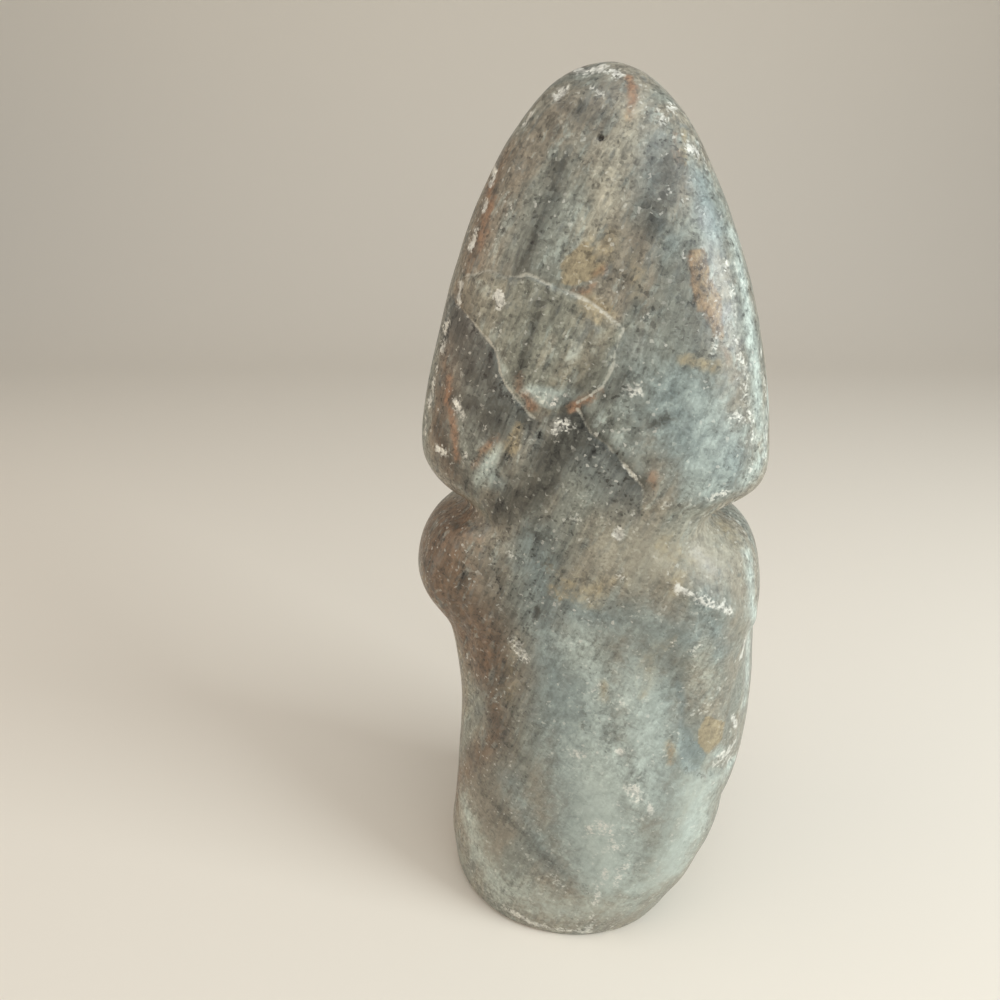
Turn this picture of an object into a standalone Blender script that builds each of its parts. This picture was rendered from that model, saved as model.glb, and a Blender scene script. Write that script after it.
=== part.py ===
"""Stone warrior figure: one carved and polished stone that stands on its flat underside.

Metres, +Z up. The figure faces -Y and its right hand is at -X. The origin is under the middle of its box.
The head in its helmet, the torso and the arms are simple upright forms. The stone's surface is their soft
union, found on rings of rays that leave the upright axis, and the face is raised and sunk on the helmet.
"""

import math

import bmesh
import bpy
import numpy

# The driving size. The figure's pose, proportions and carving are shares of it.
HEIGHT = 0.160

# The tall helmeted head: a dome that widens down to two side lobes, with a flatter back.
HEAD_DOME = 0.3625               # from the tip down to the widest level
HEAD_HALF_WIDTH = 0.1880
HEAD_BACK_DEPTH = 0.1080
HEAD_FRONT_DEPTH = 0.1500
HEAD_TAPER = 1.33                # power of the dome's outline, lower is more pointed
HEAD_DEPTH_GROWTH = 0.80         # below 1 the dome gains depth sooner than width
HEAD_BACK_POWER = 2.7            # power of the ring's outline, 2 is an ellipse and more is squarer
HEAD_FRONT_POWER = 2.0
HEAD_SET_BACK = 0.0250           # how far the widest line stands behind the axis
TIP_SET_BACK = 0.0100
TIP_LEAN = 0.0080                # how far the tip leans towards the left hand
SIDE_LEAN = 0.0020               # the same at the widest level

# A lobe: straight drop below the widest level, drop of its rounded underside, how far that draws in,
# and the power of its curve (1 is a straight bevel, 2 is round). The right one is squarer.
LEFT_LOBE = (0.0130, 0.0560, 0.0520, 1.6)
RIGHT_LOBE = (0.0040, 0.0470, 0.0480, 1.9)
UNDERSIDE_STEEPNESS = 5.0        # how fast the head draws in below that edge
NAPE_TURN = 6.0                  # degrees from the back round to the nape's middle, towards the right hand
NAPE_HALF_ANGLE = 38.0           # degrees either side of it where the head runs down into the back
CREASE_ANGLE = 62.0              # degrees from it where the crease under the lobes is fully cut
NAPE_CURVE = 2.6                 # how fast the head's back draws in below its widest level

# The face, calm and plain, in the helmet's arched opening. Each size is a share of the figure's height.
FACE_HALF_WIDTH = 0.100
FACE_SUNK = 0.0060
ARCH_FOOT_LEVEL = 0.660
ARCH_RISE = 0.085
FACE_EDGE = (0.90, 1.04)         # where the face starts to rise to the rim, and where it ends, 1 is the opening
RIM_RAISED = 0.0050
RIM_MIDDLE = 1.12                # just outside the opening
RIM_HALF_WIDTH = 0.09
FACE_FADE = 0.03                 # the relief fades out over this distance before the widest line
CHIN_LEVEL = 0.6030
MOUTH_LEVEL = 0.6280
NOSE_TIP_LEVEL = 0.6600
EYE_LEVEL = 0.6970
BROW_LEVEL = 0.7180
EYE_OUT = 0.0425
FACE_MOUNDS = (                  # distance out, level, half width, half height, how far it is raised
    (EYE_OUT, EYE_LEVEL, 0.030, 0.017, -0.009),
    (EYE_OUT, EYE_LEVEL, 0.019, 0.008, 0.008),
    (0.0, MOUTH_LEVEL, 0.042, 0.016, 0.006),
    (0.0, MOUTH_LEVEL, 0.030, 0.005, -0.006),
    (0.0, CHIN_LEVEL, 0.030, 0.013, 0.008),
)
BROW_RAISED = 0.0060
BROW_HALF_HEIGHT = 0.0110
BROW_DROOP = 1.5                 # how fast the brows run down towards the temples
NOSE_RAISED = 0.0190
NOSE_ROOT_SHARE = 0.20           # of that, at the root between the eyes
NOSE_HALF_WIDTHS = (0.010, 0.020)    # at the root and at the tip
NOSE_ROOT = (-0.010, 0.012)      # where the nose starts and is full, above and below the brow
NOSE_UNDERSIDE = (0.002, 0.014)  # below the tip, where the nose ends
NOSE_SLOPE_TOP = 0.015           # above the eyes, where the nose starts to rise towards its tip
NECK_SUNK = 0.0300
NECK_HALF_WIDTHS = (0.055, 0.090)    # where the sunk neck is full, and where it ends
UNDER_CHIN = (0.006, 0.026)      # below the chin, from its edge to the full neck

# The torso: level, half width, shift towards the right hand, depth to the back, depth to the front.
TORSO = (
    (0.000, 0.1720, -0.0230, 0.1320, 0.1300),
    (0.050, 0.1670, -0.0140, 0.1340, 0.1400),
    (0.106, 0.1680, -0.0010, 0.1350, 0.1460),
    (0.169, 0.1720, 0.0120, 0.1350, 0.1460),
    (0.220, 0.1700, 0.0145, 0.1340, 0.1440),
    (0.298, 0.1630, 0.0120, 0.1320, 0.1380),
    (0.400, 0.1640, 0.0020, 0.1300, 0.1300),
    (0.480, 0.1720, -0.0060, 0.1270, 0.1220),
    (0.535, 0.1560, -0.0050, 0.1250, 0.1120),
    (0.575, 0.1280, -0.0030, 0.1220, 0.0980),
    (0.640, 0.1000, 0.0000, 0.1100, 0.0800),
)
TORSO_POWER = 2.8                # power of the ring's outline, squarer than an ellipse
FOOT_POWER = 2.0                 # the same at the underside
FOOT_TOP = 0.160                 # level where the outline has become as square as the torso
SHOULDER_STEEPNESS = 3.0         # how fast the neck draws in above the last station
ARM_END_STEEPNESS = 5.0

# The rounded foot of the stone: rise, how far the underside lies in, power of the curve.
SIDE_FOOT = (0.085, 0.0260, 1.4)
BACK_FOOT = (0.040, 0.0080, 2.0)
FOOT_EDGE = 0.0010               # so that the curve doesn't end flat at the underside

# The arms: level, distance out, distance forward, half thickness, half width from front to back.
# The right forearm is a wide band at the side. The left one is narrower and lies towards the front.
RIGHT_ARM = (
    (0.190, 0.1160, 0.0180, 0.0080, 0.0120),
    (0.198, 0.1165, 0.0180, 0.0380, 0.0600),
    (0.218, 0.1190, 0.0150, 0.0600, 0.0980),
    (0.245, 0.1210, 0.0120, 0.0630, 0.1060),
    (0.298, 0.1250, 0.0100, 0.0630, 0.1080),
    (0.338, 0.1280, 0.0100, 0.0630, 0.1080),
    (0.375, 0.1290, 0.0080, 0.0630, 0.1080),
    (0.406, 0.1310, 0.0050, 0.0620, 0.1080),
    (0.428, 0.1330, 0.0010, 0.0590, 0.1090),
    (0.470, 0.1345, -0.0040, 0.0570, 0.1080),
    (0.500, 0.1330, -0.0060, 0.0540, 0.1050),
    (0.520, 0.1310, -0.0080, 0.0500, 0.1000),
    (0.540, 0.1260, -0.0120, 0.0450, 0.0900),
    (0.550, 0.1200, -0.0160, 0.0400, 0.0800),
    (0.558, 0.1120, -0.0200, 0.0300, 0.0620),
    (0.563, 0.1040, -0.0220, 0.0130, 0.0280),
)
LEFT_ARM = (
    (0.190, 0.1160, 0.0560, 0.0080, 0.0120),
    (0.198, 0.1170, 0.0570, 0.0380, 0.0560),
    (0.218, 0.1200, 0.0590, 0.0590, 0.0880),
    (0.245, 0.1220, 0.0600, 0.0620, 0.0940),
    (0.298, 0.1260, 0.0600, 0.0620, 0.0950),
    (0.338, 0.1280, 0.0560, 0.0620, 0.0960),
    (0.375, 0.1280, 0.0440, 0.0620, 0.0980),
    (0.406, 0.1290, 0.0300, 0.0610, 0.1000),
    (0.428, 0.1300, 0.0130, 0.0580, 0.1040),
    (0.470, 0.1300, -0.0030, 0.0560, 0.1060),
    (0.500, 0.1300, -0.0060, 0.0540, 0.1020),
    (0.518, 0.1280, -0.0080, 0.0500, 0.0960),
    (0.536, 0.1220, -0.0120, 0.0440, 0.0860),
    (0.546, 0.1150, -0.0160, 0.0380, 0.0760),
    (0.553, 0.1070, -0.0200, 0.0280, 0.0580),
    (0.557, 0.1000, -0.0220, 0.0120, 0.0260),
)
ARM_POWER = 2.0                  # power of an arm's outline, 2 is an ellipse

# The shallow groove between the legs, at the front.
LEGS_GROOVE_DEPTH = 0.0140
LEGS_GROOVE_HALF_WIDTH = 0.0180
LEGS_GROOVE_TOP = 0.190
LEGS_GROOVE_FADE = 0.050         # it deepens over this distance in front of the axis

# How softly one form runs into the next.
CREASE_BLEND = 0.0080            # at the neck, where the crease is sharp
NAPE_BLEND = 0.0240              # at the middle of the back
FOREARM_BLEND = 0.0200
SHOULDER_BLEND = 0.0800
ELBOW_LEVELS = (0.400, 0.480)    # from the cut edge under the elbow up to the soft shoulder
ARM_FRONT_SOFTNESS = (-0.02, 0.06)   # ahead of an arm's middle, where it starts to run softly into the front

# The rings of the mesh.
SEGMENTS = 66
FRONT_CROWDING = 0.40            # how much closer the segments stand across the face
FIRST_TOP_STEP = 0.0019          # drop from the tip to the first ring; the next drops grow by squares
TOP_RINGS = 8
ZONES = (                        # upper level of each zone, and its rings
    (0.012, 2),
    (0.120, 6),
    (0.172, 2),
    (0.212, 4),
    (0.390, 8),
    (0.480, 7),
    (0.540, 4),
    (0.590, 9),
    (0.755, 18),
    (0.870, 5),
)
FARTHEST_REACH = 0.30            # no part of the surface is farther than this from the axis
HALVINGS = 40                    # steps that close in on the surface along each ray

STONE_COLOUR = (0.33, 0.38, 0.37, 1.0)
STONE_ROUGHNESS = 0.38


def smooth_step(low, high, value):
    """0 at low, 1 at high and beyond, and an even curve between them."""
    share = numpy.clip((value - low) / (high - low), 0.0, 1.0)
    return share * share * (3.0 - 2.0 * share)


def soft_min(first, second, width):
    """The smaller of two gaps, rounded off where they come within width of each other."""
    nearness = numpy.clip(width - abs(first - second), 0.0, None) / width
    return numpy.minimum(first, second) - nearness * nearness * width / 4.0


def station_values(stations, level):
    """The columns of a table of stations at a level, on a smooth curve through its rows."""
    level = min(max(level, stations[0][0]), stations[-1][0])
    upper = 1
    while stations[upper][0] < level:
        upper += 1
    rows = [stations[max(upper - 2, 0)], stations[upper - 1], stations[upper],
            stations[min(upper + 1, len(stations) - 1)]]
    span = rows[2][0] - rows[1][0]
    share = (level - rows[1][0]) / span
    values = []
    for column in range(1, len(rows[0])):
        before, start, end, after = (row[column] for row in rows)
        start_slope = (end - before) / (rows[2][0] - rows[0][0]) * span
        end_slope = (after - start) / (rows[3][0] - rows[1][0]) * span
        values.append((2 * share**3 - 3 * share**2 + 1) * start
                      + (share**3 - 2 * share**2 + share) * start_slope
                      + (3 * share**2 - 2 * share**3) * end
                      + (share**3 - share**2) * end_slope)
    return values


def station_columns(stations, levels):
    """Each column of the stations, as one value for each ring."""
    rows = [station_values(stations, level) for level in levels[:, 0]]
    return [numpy.array(column)[:, None] for column in zip(*rows)]


def drawn_in(distance, reach, inset, roundness):
    """How far a rounded edge has drawn in, at a distance past where its rounding starts."""
    share = numpy.clip(distance / reach, 0.0, 1.0)
    return inset * (1.0 - (1.0 - share**roundness) ** (1.0 / roundness))


def oval_gap(across, forward, half_width, depth, power):
    """Gap from an oval's edge along the ray from its middle, negative inside."""
    size = ((abs(across) / half_width) ** power + (abs(forward) / depth) ** power) ** (1.0 / power)
    return numpy.hypot(across, forward) * (1.0 - 1.0 / numpy.maximum(size, 1e-6))


def nape_share(across, forward):
    """1 round the nape's middle, where the head runs into the back, and 0 where the crease is fully cut."""
    degrees = numpy.degrees(numpy.arctan2(-across, -forward))
    return smooth_step(CREASE_ANGLE, NAPE_HALF_ANGLE, abs(degrees - NAPE_TURN))


def bump(distance, half_width):
    """1 in the middle, and nearly 0 at twice the half width."""
    return numpy.exp(-(distance / half_width) ** 2)


def nose_relief(side, levels):
    down_nose = smooth_step(EYE_LEVEL + NOSE_SLOPE_TOP, NOSE_TIP_LEVEL, levels)
    root_width, tip_width = NOSE_HALF_WIDTHS
    half_width = root_width + (tip_width - root_width) * down_nose
    above, below = NOSE_UNDERSIDE
    underside = smooth_step(NOSE_TIP_LEVEL - below, NOSE_TIP_LEVEL - above, levels)
    root_low, root_high = NOSE_ROOT
    root = smooth_step(BROW_LEVEL + root_high, BROW_LEVEL + root_low, levels)
    raised = NOSE_ROOT_SHARE + (1.0 - NOSE_ROOT_SHARE) * down_nose
    return NOSE_RAISED * raised * bump(side, half_width) * underside * root


def face_relief(across, levels):
    """How far the front of the head stands out (or in, below 0) from its plain form."""
    side = abs(across)
    arch = numpy.clip((levels - ARCH_FOOT_LEVEL) / ARCH_RISE, 0.0, None)
    opening = ((side / FACE_HALF_WIDTH) ** 3 + arch**3) ** (1.0 / 3.0)
    face_start, face_end = FACE_EDGE
    face = smooth_step(face_end, face_start, opening)
    relief = RIM_RAISED * bump(opening - RIM_MIDDLE, RIM_HALF_WIDTH) - FACE_SUNK * face
    relief += BROW_RAISED * face * bump(levels - BROW_LEVEL + BROW_DROOP * side**2, BROW_HALF_HEIGHT)
    for out, level, half_width, half_height, raised in FACE_MOUNDS:
        relief += raised * bump(side - out, half_width) * bump(levels - level, half_height)
    relief += nose_relief(side, levels)
    edge, full = UNDER_CHIN
    under_chin = smooth_step(CHIN_LEVEL - edge, CHIN_LEVEL - full, levels)
    neck_full, neck_end = NECK_HALF_WIDTHS
    return relief - NECK_SUNK * under_chin * smooth_step(neck_end, neck_full, side)


def head_gap(across, forward, levels):
    nape = nape_share(across, forward)
    left = smooth_step(-HEAD_HALF_WIDTH, HEAD_HALF_WIDTH, across)
    straight, curve, inset, power = (first + (second - first) * left
                                     for first, second in zip(RIGHT_LOBE, LEFT_LOBE))
    below_tip = 1.0 - levels
    swell = numpy.sqrt(1.0 - numpy.clip(1.0 - below_tip / HEAD_DOME, 0.0, 1.0) ** HEAD_TAPER)
    swell = numpy.maximum(swell, 1e-3)
    below_sides = below_tip - HEAD_DOME - straight
    narrowing = drawn_in(below_sides, curve, inset, power)
    narrowing += UNDERSIDE_STEEPNESS * numpy.clip(below_sides - curve, 0.0, None)
    nape_narrowing = NAPE_CURVE * numpy.clip(below_tip - HEAD_DOME, 0.0, None) ** 2
    narrowing += (nape_narrowing - narrowing) * nape
    beside = across - TIP_LEAN - (SIDE_LEAN - TIP_LEAN) * swell
    ahead = forward + TIP_SET_BACK + (HEAD_SET_BACK - TIP_SET_BACK) * swell
    depth = numpy.where(ahead > 0.0, HEAD_FRONT_DEPTH, HEAD_BACK_DEPTH) * swell**HEAD_DEPTH_GROWTH
    power = numpy.where(ahead > 0.0, HEAD_FRONT_POWER, HEAD_BACK_POWER)
    surface = oval_gap(beside, ahead, HEAD_HALF_WIDTH * swell, depth, power) + narrowing
    return surface - face_relief(across, levels) * smooth_step(0.0, FACE_FADE, ahead)


def foot_inset(foot, levels):
    rise, inset, power = foot
    return drawn_in(rise - levels, rise + FOOT_EDGE, inset, power)


def arm_gap(stations, out, forward, levels):
    """Gap from one arm's surface, and how far ahead of the arm's middle each point is."""
    distance, middle, thickness, width = station_columns(stations, levels)
    bottom = stations[0][0]
    top = stations[-1][0]
    past_ends = numpy.clip(bottom - levels, 0.0, None) + numpy.clip(levels - top, 0.0, None)
    ahead = forward - middle
    surface = oval_gap(out - distance, ahead, thickness, width, ARM_POWER)
    return surface + ARM_END_STEEPNESS * past_ends, ahead


def body_gap(across, forward, levels):
    half_width, shift, back, front = station_columns(TORSO, levels)
    beside = across + shift
    depth = numpy.where(forward > 0.0, front, back) - foot_inset(BACK_FOOT, levels)
    power = FOOT_POWER + (TORSO_POWER - FOOT_POWER) * smooth_step(0.0, FOOT_TOP, levels)
    torso = oval_gap(beside, forward, half_width - foot_inset(SIDE_FOOT, levels), depth, power)
    torso += SHOULDER_STEEPNESS * numpy.clip(levels - TORSO[-1][0], 0.0, None)
    groove = bump(beside, LEGS_GROOVE_HALF_WIDTH) * smooth_step(0.0, LEGS_GROOVE_FADE, forward)
    torso += LEGS_GROOVE_DEPTH * groove * numpy.sqrt(smooth_step(LEGS_GROOVE_TOP, 0.0, levels))
    for stations, out in ((RIGHT_ARM, -beside), (LEFT_ARM, beside)):
        arm, ahead = arm_gap(stations, out, forward, levels)
        softness = numpy.maximum(smooth_step(*ELBOW_LEVELS, levels), smooth_step(*ARM_FRONT_SOFTNESS, ahead))
        torso = soft_min(torso, arm, FOREARM_BLEND + (SHOULDER_BLEND - FOREARM_BLEND) * softness)
    return torso


def figure_gap(across, forward, levels):
    """Gap from the stone's surface, negative inside, in shares of the height."""
    blend = CREASE_BLEND + (NAPE_BLEND - CREASE_BLEND) * nape_share(across, forward)
    return soft_min(body_gap(across, forward, levels), head_gap(across, forward, levels), blend)


def ring_levels():
    """Levels of the rings from the underside to just below the tip, as a column."""
    levels = []
    low = 0.0
    for high, rings in ZONES:
        levels += [low + (high - low) * ring / rings for ring in range(rings)]
        low = high
    levels += [low] + [1.0 - FIRST_TOP_STEP * ring**2 for ring in range(TOP_RINGS, 0, -1)]
    return numpy.array(levels)[:, None]


def ring_angles():
    """Angles of the rays from the front, closer together across the face, as a row."""
    even = 2.0 * math.pi * numpy.arange(SEGMENTS) / SEGMENTS
    return (even - FRONT_CROWDING * numpy.sin(even))[None, :]


def surface_points():
    """Points on the stone's surface, ring by ring, in shares of the height."""
    levels = ring_levels()
    angles = ring_angles()
    across = numpy.sin(angles)
    forward = numpy.cos(angles)
    near = numpy.zeros((levels.shape[0], angles.shape[1]))
    far = near + FARTHEST_REACH
    for _ in range(HALVINGS):
        middle = (near + far) / 2.0
        inside = figure_gap(middle * across, middle * forward, levels) < 0.0
        near = numpy.where(inside, middle, near)
        far = numpy.where(inside, far, middle)
    return near * across, -near * forward, levels + 0.0 * near


def build_figure():
    x, y, z = surface_points()
    middle_x = (x.min() + x.max()) / 2.0
    middle_y = (y.min() + y.max()) / 2.0
    mesh = bmesh.new()
    rings = []
    for ring_x, ring_y, ring_z in zip(x, y, z):
        rings.append([mesh.verts.new((HEIGHT * (px - middle_x), HEIGHT * (py - middle_y), HEIGHT * pz))
                      for px, py, pz in zip(ring_x, ring_y, ring_z)])
    for lower, upper in zip(rings, rings[1:]):
        for index in range(SEGMENTS):
            following = (index + 1) % SEGMENTS
            mesh.faces.new((lower[index], lower[following], upper[following], upper[index]))
    tip = mesh.verts.new((-HEIGHT * middle_x, -HEIGHT * middle_y, HEIGHT))
    for index in range(SEGMENTS):
        mesh.faces.new((rings[-1][index], rings[-1][(index + 1) % SEGMENTS], tip))
    mesh.faces.new(list(reversed(rings[0])))
    data = bpy.data.meshes.new("stone_warrior_figure")
    mesh.to_mesh(data)
    mesh.free()
    data.shade_smooth()
    figure = bpy.data.objects.new("stone_warrior_figure", data)
    bpy.context.scene.collection.objects.link(figure)
    return figure


def stone_material():
    material = bpy.data.materials.new("polished_stone")
    material.use_nodes = True
    shader = material.node_tree.nodes["Principled BSDF"]
    shader.inputs["Base Color"].default_value = STONE_COLOUR
    shader.inputs["Roughness"].default_value = STONE_ROUGHNESS
    shader.inputs["Metallic"].default_value = 0.0
    return material


def main():
    for item in list(bpy.data.objects):
        bpy.data.objects.remove(item)
    figure = build_figure()
    figure.data.materials.append(stone_material())


main()
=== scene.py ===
import math

import bmesh
import bpy
import numpy as np
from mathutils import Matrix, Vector, noise
from mathutils.bvhtree import BVHTree


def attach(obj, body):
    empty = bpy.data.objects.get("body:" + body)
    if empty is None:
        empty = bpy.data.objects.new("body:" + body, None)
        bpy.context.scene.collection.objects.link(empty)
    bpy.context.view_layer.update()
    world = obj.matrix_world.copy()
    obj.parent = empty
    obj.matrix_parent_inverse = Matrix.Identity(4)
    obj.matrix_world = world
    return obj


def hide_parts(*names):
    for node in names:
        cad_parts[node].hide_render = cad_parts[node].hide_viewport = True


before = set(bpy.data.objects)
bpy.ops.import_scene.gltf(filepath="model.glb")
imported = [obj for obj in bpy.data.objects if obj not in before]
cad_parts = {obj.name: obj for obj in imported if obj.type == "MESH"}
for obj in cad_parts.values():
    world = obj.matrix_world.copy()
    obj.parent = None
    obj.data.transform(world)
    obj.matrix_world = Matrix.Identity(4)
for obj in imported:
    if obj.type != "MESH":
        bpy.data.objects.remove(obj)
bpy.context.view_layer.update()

# The looks of the stone warrior figure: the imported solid's form with its finer carving, chips and cracks,
# the crystalline stone, the pale studio, the lights and the camera. Lengths are metres unless a name says mm.
# Places named in PICTURE_ values are pixels of a 1000 x 1000 picture taken by the camera below.

MM = 0.001

# The camera stands behind the figure, towards its right hand, and looks down at it.
CAMERA_TURN = math.radians(198.0)
CAMERA_PITCH = math.radians(21.7)
CAMERA_AHEAD = 0.128             # from the camera to the stone's upright axis, along the floor
CAMERA_ASIDE = 0.0172            # the axis stands this far to the right of the picture's middle
CAMERA_HEIGHT = 0.140
STONE_AXIS = (-0.00005, 0.00214)     # where the stone's upright axis stands in the frame
PICTURE_SIZE = 1000.0
FOCAL_PIXELS = 740.0
SENSOR_MM = 36.0

# The fine mesh.
VOXEL = 0.64 * MM
SMOOTHING_ROUNDS = 5
FINE_REACH = 0.9 * MM            # faces this near to a fine mark are divided once more
FOOT_KEPT = 1.2 * MM             # the relief fades out over this height above the flat underside
SAME_PLACE = 0.002 * MM          # vertices closer than this are one
FLATTEST_JOIN = math.radians(50.0)   # triangles join to four-sided faces up to this bend
SQUAREST_JOIN = math.radians(60.0)
FOOT_LEVEL = 0.01 * MM           # what lies lower is part of the underside
FACING_DOWN = 0.99
FINE_LINE = 0.8 * MM             # lines narrower than this need the divided faces
CHIP_MARGIN = 0.4 * MM
SMOOTHING = 0.5
SOFT_CORE = 0.45                 # share of the reach that is fully smoothed

# Broad unevenness of a stone worked by hand: wavelength in mm, height in mm.
UNEVENNESS = ((22.0, 0.34), (9.0, 0.16), (3.6, 0.055))

# Carved and broken lines on the side that the camera sees: points, half width in mm, height in mm.
ELBOW_RIDGE = (((663, 573), (679, 586), (700, 599), (722, 610), (741, 616), (757, 620)), 2.1, 0.44)
ELBOW_HOLLOW = (((676, 606), (700, 622), (730, 636)), 2.8, -0.34)
FOREARM_HOLLOW = (((702, 640), (709, 680), (706, 725)), 3.4, -0.22)
FOREARM_EDGE = (((743, 628), (742, 660), (739, 700), (733, 738), (726, 762)), 1.5, 0.20)
FOREARM_GROOVE = (((672, 640), (678, 670), (682, 700), (688, 735), (694, 762)), 1.9, -0.32)
HAND_END = (((694, 768), (708, 772), (722, 768), (733, 760)), 1.2, -0.52)
LOBE_EDGE = (((640, 499), (662, 502), (690, 502), (716, 498), (738, 491)), 1.3, 0.35)
LOBE_CREASE = (((691, 521), (706, 513), (722, 505), (737, 499)), 0.9, -0.42)
LEFT_ARM_CREASE = (((458, 600), (463, 628), (468, 655), (471, 690), (469, 720)), 1.1, -0.45)
LEFT_ARM_LINE_HIGH = (((441, 585), (449, 612), (457, 642), (463, 668)), 0.7, -0.22)
LEFT_ARM_LINE_LOW = (((432, 592), (444, 622), (455, 655), (462, 690)), 0.6, -0.20)
PICTURE_CARVING = (
    ELBOW_RIDGE, ELBOW_HOLLOW, FOREARM_HOLLOW, FOREARM_EDGE, FOREARM_GROOVE, HAND_END, LOBE_EDGE, LOBE_CREASE,
    LEFT_ARM_CREASE, LEFT_ARM_LINE_HIGH, LEFT_ARM_LINE_LOW,
)

# Healed cracks, as points. A crack is a fine groove with a pale lip.
CRACK_TOP = ((458, 277), (464, 275), (478, 273), (487, 269), (498, 273), (513, 277), (526, 274), (535, 277),
             (545, 283), (554, 285), (569, 292), (580, 297), (592, 303), (604, 312), (614, 321), (624, 329))
CRACK_RIGHT = ((624, 329), (620, 338), (616, 350), (613, 362), (610, 373), (603, 386), (590, 395), (578, 403))
CRACK_LEFT = ((455, 302), (463, 311), (474, 324), (486, 338), (494, 348), (499, 359), (500, 372), (505, 383),
              (511, 391), (518, 401), (526, 411), (535, 418))
CRACK_LOW = (
    (578, 409), (584, 420), (590, 432), (600, 441), (610, 448), (618, 457), (626, 467), (634, 478),
    (643, 487),
)
PICTURE_CRACKS = (CRACK_TOP, CRACK_RIGHT, CRACK_LEFT, CRACK_LOW)
# The stone is darker on one side of a crack: the crack, the outline of that side, reach in pixels, strength.
LEFT_SIDE = CRACK_LEFT + ((560, 470), (500, 540), (400, 480), (400, 340), (440, 280))
LOWER_SIDE = CRACK_LOW + ((640, 540), (520, 560), (500, 470), (540, 416))
CRACK_SHADES = ((CRACK_LEFT, LEFT_SIDE, 62.0, 1.0), (CRACK_LOW, LOWER_SIDE, 60.0, 1.0))
CRACK_HALF_WIDTH_MM = 0.40
CRACK_DEPTH_MM = 0.16
CRACK_COLOUR_REACH_MM = 1.5
SHADE_EDGE_PIXELS = 1.5
LINE_WANDER_MM = 0.15
LINE_WANDER_WAVE_MM = 1.4

# The flake that stands a little proud inside the cracks.
PICTURE_FLAKE = (
    (461, 276), (487, 271), (505, 279), (525, 275), (545, 284), (580, 298), (603, 311), (625, 329),
    (616, 352), (611, 376), (600, 394), (585, 406), (560, 412), (530, 413), (513, 400), (500, 375),
    (496, 350), (474, 325), (455, 300),
)
FLAKE_RAISED_MM = 0.16
FLAKE_EDGE_PIXELS = 5.0

# The right shoulder runs softly into the back: places, each with its reach in mm and rounds of smoothing.
SOFT_SHOULDER = (((712, 590), 21.0, 170), ((696, 552), 15.0, 220))

# Chips and pits: place, radius in mm, depth in mm.
PICTURE_CHIPS = (
    ((587, 70), 2.4, 0.25), ((560, 92), 2.0, 0.28), ((524, 120), 1.5, 0.30), ((493, 174), 1.6, 0.35),
    ((483, 203), 1.2, 0.30), ((472, 240), 1.5, 0.35), ((458, 290), 1.4, 0.22), ((443, 338), 1.7, 0.35),
    ((436, 363), 1.2, 0.22), ((430, 395), 1.6, 0.32), ((424, 424), 1.1, 0.22), ((440, 451), 1.2, 0.25),
    ((556, 287), 1.0, 0.18), ((535, 403), 1.6, 0.30), ((523, 402), 1.2, 0.30), ((575, 402), 1.4, 0.24),
    ((535, 611), 0.9, 0.28), ((759, 300), 1.4, 0.20), ((718, 150), 1.2, 0.20), ((703, 128), 1.0, 0.16),
)
PICTURE_PITS = (((601, 138), 0.55, 0.75), ((591, 613), 0.40, 0.18), ((666, 246), 0.35, 0.30),
                ((617, 534), 0.45, 0.20), ((620, 751), 0.40, 0.15))

# Fine carving on the face: across and up in mm from the middle of the front, half width, height.
FACE_MARKS = (
    (((3.2, 111.4), (5.0, 112.8), (6.9, 113.2), (8.7, 112.6), (10.6, 111.0)), 0.60, -0.62),
    (((3.6, 111.2), (5.4, 110.0), (7.2, 109.7), (8.9, 110.2), (10.2, 111.2)), 0.50, -0.46),
    (((5.2, 111.5), (6.9, 111.7), (8.5, 111.5)), 1.20, 0.34),
    (((3.0, 114.6), (5.4, 115.8), (7.6, 115.7), (10.6, 114.2)), 0.90, -0.28),
    (((0.0, 100.45), (1.8, 100.6), (3.4, 100.3), (4.8, 100.6)), 0.52, -0.62),
    (((0.0, 102.0), (1.0, 102.2), (2.4, 101.7), (4.0, 101.0)), 0.80, 0.36),
    (((0.0, 98.9), (1.8, 99.1), (3.6, 99.9)), 0.85, 0.36),
    (((0.0, 97.2), (1.8, 97.4)), 0.80, -0.30),
    (((1.0, 104.6), (2.0, 104.9)), 0.50, -0.42),
    (((3.5, 104.4), (3.7, 105.8), (2.9, 107.6)), 0.60, -0.36),
)
# The same on the arms and hands: degrees round the axis from the front and height in mm.
ARM_LINES = ((((-35, 47.0), (-37, 55.0), (-40, 64.0), (-44, 76.0), (-50, 85.0)), 1.10, -0.60),
             (((32, 47.0), (33, 55.0), (36, 64.0), (41, 75.0), (48, 85.0)), 1.10, -0.60))
RIGHT_FINGERS = ((((-84, 33.5), (-82, 43.0)), 0.65, -0.36), (((-72, 33.0), (-70, 44.5)), 0.75, -0.58),
                 (((-60, 33.0), (-58, 44.5)), 0.75, -0.58), (((-47, 33.0), (-45, 44.5)), 0.75, -0.50))
LEFT_FINGERS = ((((72, 33.0), (70, 44.0)), 0.75, -0.58), (((61, 32.8), (59, 44.5)), 0.75, -0.58),
                (((50, 32.8), (48, 44.5)), 0.75, -0.58), (((38, 33.0), (36, 44.0)), 0.75, -0.50))
LINE_SHADE_DARKNESS = 0.58                # how dark painted shade makes the deepest lines on the front
DEEPEST_LINE = 0.62 * MM
LINE_SHADE_WIDTH = 1.3                # how wide the painted shade lies, as a share of a line's half width
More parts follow.
